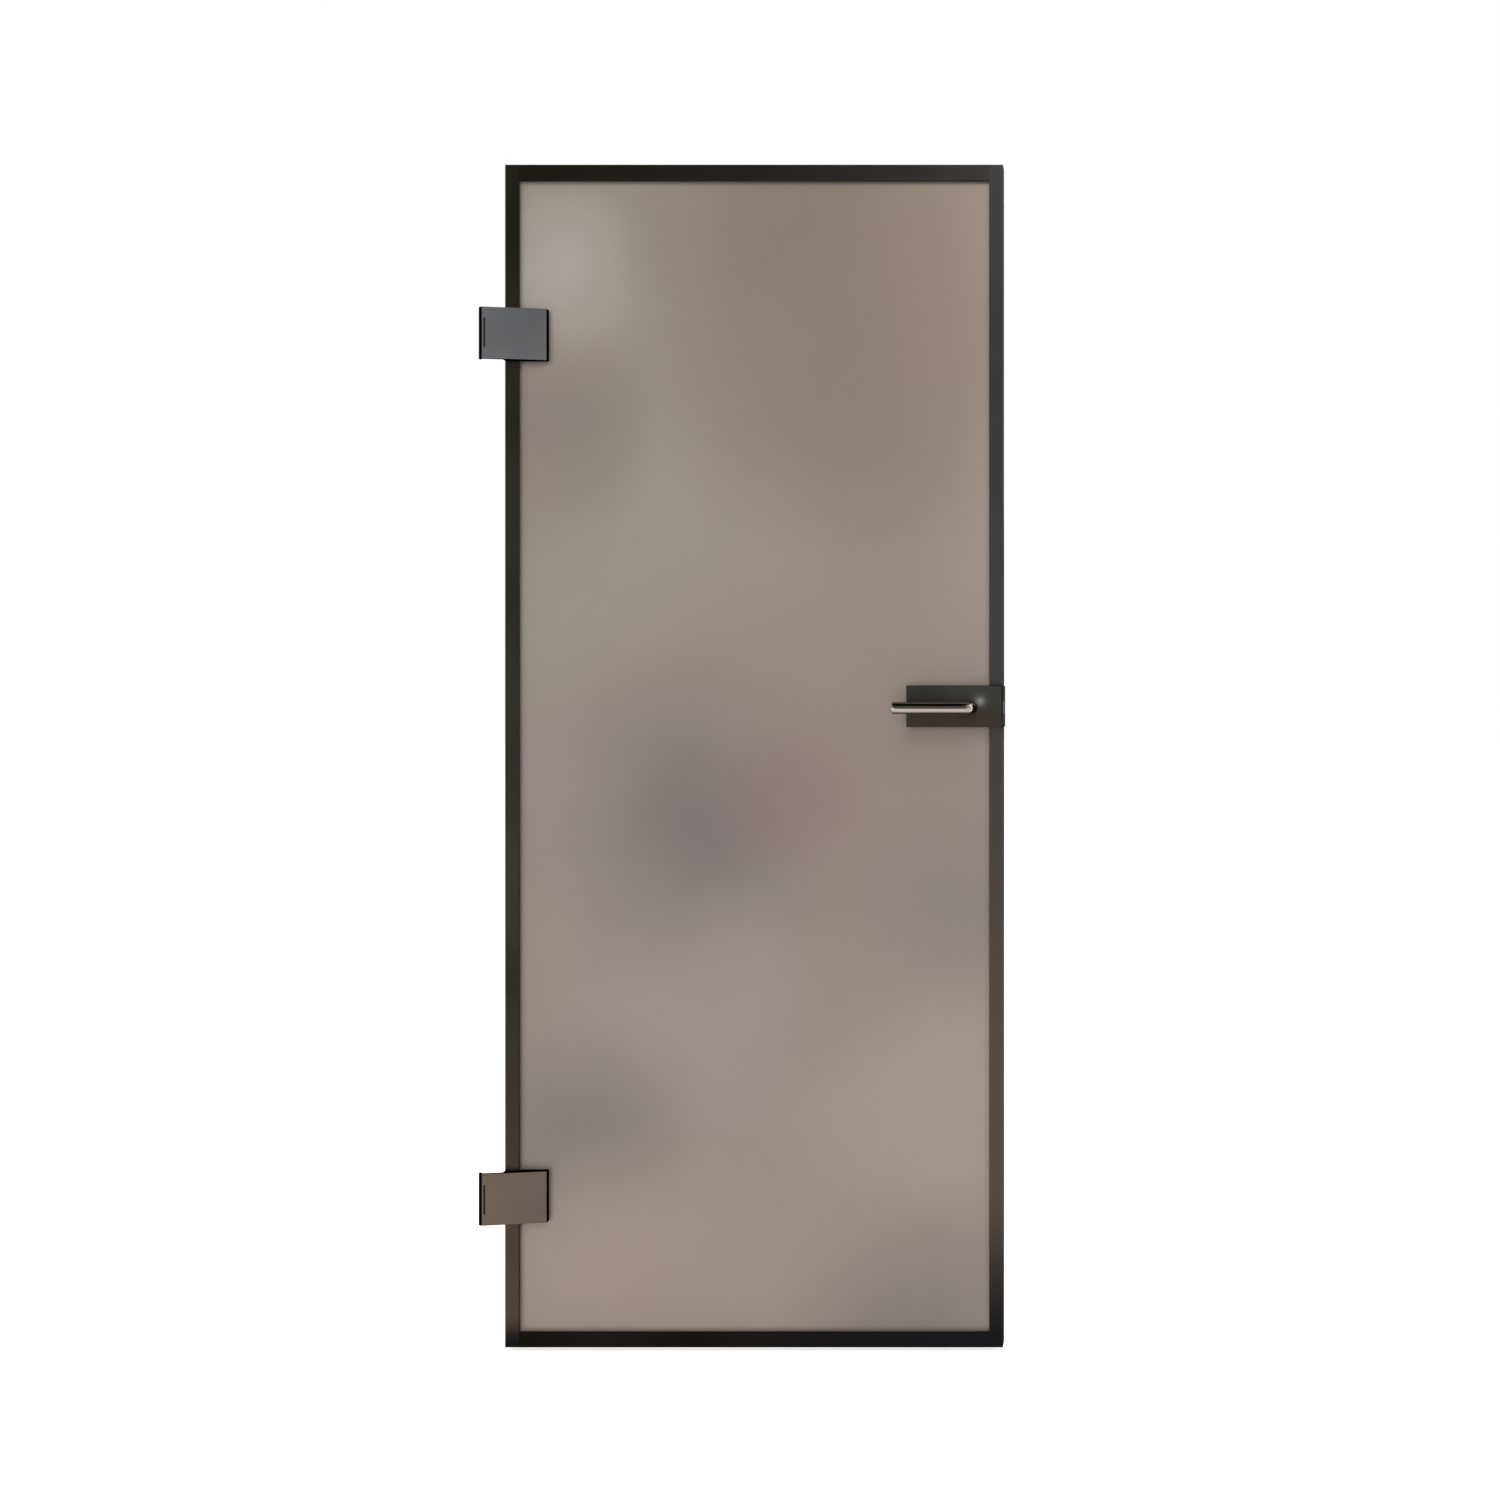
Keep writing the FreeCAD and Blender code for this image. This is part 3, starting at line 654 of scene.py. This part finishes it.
PLASTIC_DARK = (0.022, 0.022, 0.023)
PLASTIC_LIGHT = (0.034, 0.034, 0.034)
PLASTIC_DRIFT = 80.0
PLASTIC_GRAIN = 2600.0
PLASTIC_TOOTH = 0.2
PLASTIC_DEPTH = 0.08 * MM
PLASTIC_ROUGH = 0.5
plastic, tree, shader, place = toned_material("bearing_plastic", PLASTIC_DRIFT, PLASTIC_DARK,
                                              PLASTIC_LIGHT)
relief(tree, shader, use(tree, fine_grain, Vector=place, Scale=PLASTIC_GRAIN), PLASTIC_TOOTH,
       PLASTIC_DEPTH)
shader.inputs["Roughness"].default_value = PLASTIC_ROUGH

BRACKET_EDGE = 0.4 * MM
PLATE_T = 5.0 * MM
SCREW_X, SCREW_Z = 24.0 * MM, 40.0 * MM
BRACKET_SCREW = (4.9 * MM, 3.0 * MM, 1.6 * MM)    # radius of the head, key size, socket depth
HEAD_SUNK = 0.15 * MM
SCREW_SIDES = 36
HEAD_CHAMFER = 0.2 * MM
KEY_CHAMFER = 0.25 * MM
CONE_FOOT, CONE_DEEP = 0.55, 0.45    # shares of the head's radius
NEAR_AXIS = 0.001                    # share of a ring's radius at which its face closes


def screw_grid(head_r, key, depth):
    """Rings of a countersunk head with a hexagon socket, from the socket's floor, up its wall,
    out over the head and down the cone. A ring of the hexagon is key / 2 / cos of the angle
    from its nearest flat, any other is a circle, and its height is along the screw."""
    turn = np.linspace(0, 2 * np.pi, SCREW_SIDES, endpoint=False)
    sixth = np.pi / 3
    hexagon = key / 2 / np.cos((turn + sixth / 2) % sixth - sixth / 2)
    circle = np.full_like(turn, head_r)
    rings = ((hexagon * NEAR_AXIS, -depth), (hexagon * (1 - NEAR_AXIS), -depth),
             (hexagon, -KEY_CHAMFER), (hexagon + KEY_CHAMFER, 0.0),
             (circle - HEAD_CHAMFER, 0.0), (circle, -HEAD_CHAMFER),
             (circle * CONE_FOOT, -CONE_DEEP * head_r),
             (circle * NEAR_AXIS, -CONE_DEEP * head_r))
    return np.stack([np.column_stack([r * np.cos(turn), r * np.sin(turn), np.full_like(turn, h)])
                     for r, h in rings])


def screws(name, places, outward, size, body):
    """Screws at the places as one piece, with their heads facing outward."""
    local = screw_grid(*size)
    outward, up = np.array(outward, float), np.array([0.0, 0.0, 1.0])
    across = np.cross(up, outward)
    grids = [np.array(spot) + local[..., :1] * across + local[..., 1:2] * up
             + local[..., 2:3] * outward for spot in places]
    grid_piece(name, grids, ground_steel, body)


for side in ("lower", "upper"):
    dressed(side + "_wall_bracket", BRACKET_EDGE, bracket_metal)
    paint(side + "_hinge_pin", ground_steel)
    paint(side + "_hinge_washer_top", plastic)
    paint(side + "_hinge_washer_bottom", plastic)
    low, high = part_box(side + "_wall_bracket")
    middle = (low + high) / 2
    screws(side + "_bracket_screws",
           [(middle.x + a * SCREW_X / 2, high.y - PLATE_T + HEAD_SUNK, middle.z + b * SCREW_Z / 2)
            for a in (-1, 1) for b in (-1, 1)],
           (0, -1, 0), BRACKET_SCREW, "wall_side")

# Hinge clamps and covers
# A cast front clamp with two knuckles and a back clamp grip the glass through rubber. A thin
#  satin cover with a rounded edge snaps over the front clamp, and the slit in it lets a tool
#  release it. Its sides carry painted shade and its rounding a painted dark reflection, and the
#  upper cover is lighter and bluer than the lower by painted reflection.
COVER_EDGE = 0.35 * MM
CLAMP_EDGE = 0.3 * MM
BACK_EDGE = 0.7 * MM
# near black, painted as shade on the sides of the hinge covers and lock cases, and as dark
# reflection on the covers' rounding
PAINTED_SIDE_DARK = (0.004, 0.004, 0.004)
SQUARE_AT = (0.985, 0.950)           # how squarely a face looks ahead where the painted shade starts
ROUND_AT = (0.6 * MM, -1.0 * MM)     # X where the painted dark reflection on the rounding starts and is full


def surface_facing(tree):
    """How squarely the surface faces along each axis, from -1 to 1."""
    normal = add(tree, "ShaderNodeTexCoord").outputs["Normal"]
    return add(tree, "ShaderNodeSeparateXYZ", {0: normal}).outputs


def painted_dark_sides_and_rounding(tree, place, colour):
    """Painted dark reflection, near black, on the rounding, and painted shade, near black, on
    every side that doesn't face forwards or back.
    """
    squarely = add(tree, "ShaderNodeMath", {0: surface_facing(tree)[Y]}, operation="ABSOLUTE")
    colour = tone_mix(tree, ramp(tree, squarely.outputs[0], *SQUARE_AT), colour, PAINTED_SIDE_DARK)
    return tone_mix(tree, along(tree, place, X, *ROUND_AT), colour, PAINTED_SIDE_DARK)


CLAMP_DARK = (0.040, 0.040, 0.040)
CLAMP_LIGHT = (0.060, 0.059, 0.058)
CLAMP_ROUGH = 0.55
CLAMP_DRIFT = 20.0
# the covers are one finish: the upper one's lighter, bluer grey and the lower one's darker brown
# are painted reflection
COVER_PAINTED_REFLECTIONS = (("upper", (0.149, 0.152, 0.161), (0.179, 0.182, 0.191)),
               ("lower", (0.091, 0.072, 0.059), (0.111, 0.087, 0.071)))
COVER_ROUGH = 0.36
COVER_DRIFT = 9.0
clamp_metal = satin_metal("clamp_cast_grey", CLAMP_DARK, CLAMP_LIGHT, CLAMP_ROUGH, CLAMP_DRIFT)
for side, dark, light in COVER_PAINTED_REFLECTIONS:
    cover_metal = satin_metal(side + "_cover_painted_reflection", dark, light, COVER_ROUGH, COVER_DRIFT,
                              tone=painted_dark_sides_and_rounding)
    dressed(side + "_hinge_cover", COVER_EDGE, cover_metal)
    dressed(side + "_hinge_back_clamp", BACK_EDGE, cover_metal)
    dressed(side + "_hinge_front_clamp", CLAMP_EDGE, clamp_metal)

# Lock
# Two dark satin half cases clamp the edge of the glass round the lock core, whose black plate
# closes the stile and holds a flush latch bolt of black plastic. The lever's neck turns in a
# plastic block behind the case wall.
CASE_EDGE = 1.3 * MM
CORE_EDGE = 0.3 * MM
BOLT_EDGE = 0.8 * MM
PLATE_SCREW_INSET = 5.5 * MM
PLATE_HEAD_SUNK = 0.06 * MM
PLATE_SCREW = (3.6 * MM, 2.2 * MM, 1.2 * MM)      # radius of the head, key size, socket depth
CASE_DARK = (0.043, 0.045, 0.039)
CASE_LIGHT = (0.060, 0.061, 0.054)
# the browner tone is painted reflection towards the case's lower edge
CASE_BROWN_REFLECTION = (0.049, 0.038, 0.032)
CASE_ROUGH = 0.38
CASE_DRIFT = 12.0
TURNED_AT = (0.12, 0.35)             # how far an edge turns up or aside where the painted shade starts


def case_painted_light(tree, place, colour):
    """Painted reflection, browner towards the lower edge, and painted shade, near black, over the
    top and lock side edges.
    """
    low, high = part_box("lock_case_front")
    colour = tone_mix(tree, along(tree, place, Z, high.z, low.z), colour, CASE_BROWN_REFLECTION)
    axes = surface_facing(tree)
    turned = add(tree, "ShaderNodeMath", {0: axes[X], 1: axes[Z]}, operation="MAXIMUM")
    return tone_mix(tree, ramp(tree, turned.outputs[0], *TURNED_AT), colour, PAINTED_SIDE_DARK)


case_metal = satin_metal("lock_case_grey", CASE_DARK, CASE_LIGHT, CASE_ROUGH, CASE_DRIFT,
                         tone=case_painted_light)
dressed("lock_case_front", CASE_EDGE, case_metal)
dressed("lock_case_back", CASE_EDGE, case_metal)
dressed("lock_core", CORE_EDGE, bracket_metal)
dressed("latch_bolt", BOLT_EDGE, plastic)
paint("front_lever_bushing", plastic)
paint("back_lever_bushing", plastic)
core_low, core_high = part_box("lock_core")
screws("lock_plate_screws",
       [(core_high.x - PLATE_HEAD_SUNK, (core_low.y + core_high.y) / 2, z)
        for z in (core_low.z + PLATE_SCREW_INSET, core_high.z - PLATE_SCREW_INSET)],
       (1, 0, 0), PLATE_SCREW, "leaf")

# Levers
# A round bar mitred to a round neck and polished, one on each side of the leaf, on a common
# square steel spindle that runs through the lock.
POLISH_DARK = (0.318, 0.280, 0.250)
POLISH_LIGHT = (0.348, 0.308, 0.278)
POLISH_DRIFT = 40.0
POLISH_ROUGH = 0.09
POLISH_SMEAR = 0.02
lever_metal, tree, shader, place = toned_material("lever_polished", POLISH_DRIFT, POLISH_DARK,
                                                  POLISH_LIGHT)
tree.links.new(use(tree, handled, Vector=place, Base=POLISH_ROUGH, Amount=POLISH_SMEAR),
               shader.inputs["Roughness"])
shader.inputs["Metallic"].default_value = 1.0
shader.inputs["Specular Tint"].default_value = EDGE_TINT
paint("lever_spindle", ground_steel)

LEVER_SIDES = 72
CORNER_SOFT = 3.5 * MM
CORNER_LEAST = 0.02 * MM
END_DOME = 0.8 * MM
END_EDGE = 1.2 * MM
DOME_RINGS, EDGE_RINGS, BAR_RINGS, CORNER_RINGS, NECK_RINGS = 7, 4, 7, 8, 6
spindle_low, spindle_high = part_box("lever_spindle")
axis_x = (spindle_low.x + spindle_high.x) / 2
axis_z = (spindle_low.z + spindle_high.z) / 2


def lever(name, node, facing):
    """A line at angle t of the bar lies r cos t out from its middle line and r sin t above.
    It runs from the domed end along the bar, round a corner whose radius grows from nothing
    inside to the soft outer one as (1 + cos t) / 2, and down the neck, r cos t past the axis.
    facing is -1 in front of the leaf and 1 behind it."""
    low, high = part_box(node)
    radius = (high.z - low.z) / 2
    bar_y, neck_y = (low.y + radius, high.y) if facing < 0 else (high.y - radius, low.y)
    turn = np.linspace(0, 2 * np.pi, LEVER_SIDES, endpoint=False)
    out, up = radius * np.cos(turn), radius * np.sin(turn)

    def rings(x, away, height):
        return np.stack(np.broadcast_arrays(x, bar_y + facing * away, axis_z + height), -1)

    share = np.linspace(NEAR_AXIS, 1 - END_EDGE / radius, DOME_RINGS)
    step = np.linspace(0, np.pi / 2, EDGE_RINGS + 1)[1:]
    x = np.concatenate([low.x + END_DOME * (share / share[-1]) ** 2,
                        low.x + END_DOME + END_EDGE * (1 - np.cos(step))])[:, None]
    size = np.concatenate([share, share[-1] + (1 - share[-1]) * np.sin(step)])[:, None]
    end = rings(x, out * size, up * size)
    soft = np.maximum(CORNER_SOFT * (1 + np.cos(turn)) / 2, CORNER_LEAST)
    bend_x, bend_out = axis_x + out - soft, out - soft
    part = np.linspace(0, 1, BAR_RINGS + 2)[1:-1, None]
    bar = rings(x[-1] + (bend_x - x[-1]) * part, out, up)
    angle = np.linspace(0, np.pi / 2, CORNER_RINGS)[:, None]
    corner = rings(bend_x + soft * np.sin(angle), bend_out + soft * np.cos(angle), up)
    foot = facing * (neck_y - bar_y)
    part = np.linspace(0, 1, NECK_RINGS + 1)[1:, None]
    neck = rings(axis_x + out, bend_out + (foot - bend_out) * part, up)
    close = rings(axis_x + out * NEAR_AXIS, np.array([[foot]]), up * NEAR_AXIS)
    piece = grid_piece(name, [np.concatenate([end, bar, corner, neck, close])], lever_metal,
                       "lever")
    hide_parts(node)


lever("front_lever_bar", "front_lever", -1)
lever("back_lever_bar", "back_lever", 1)
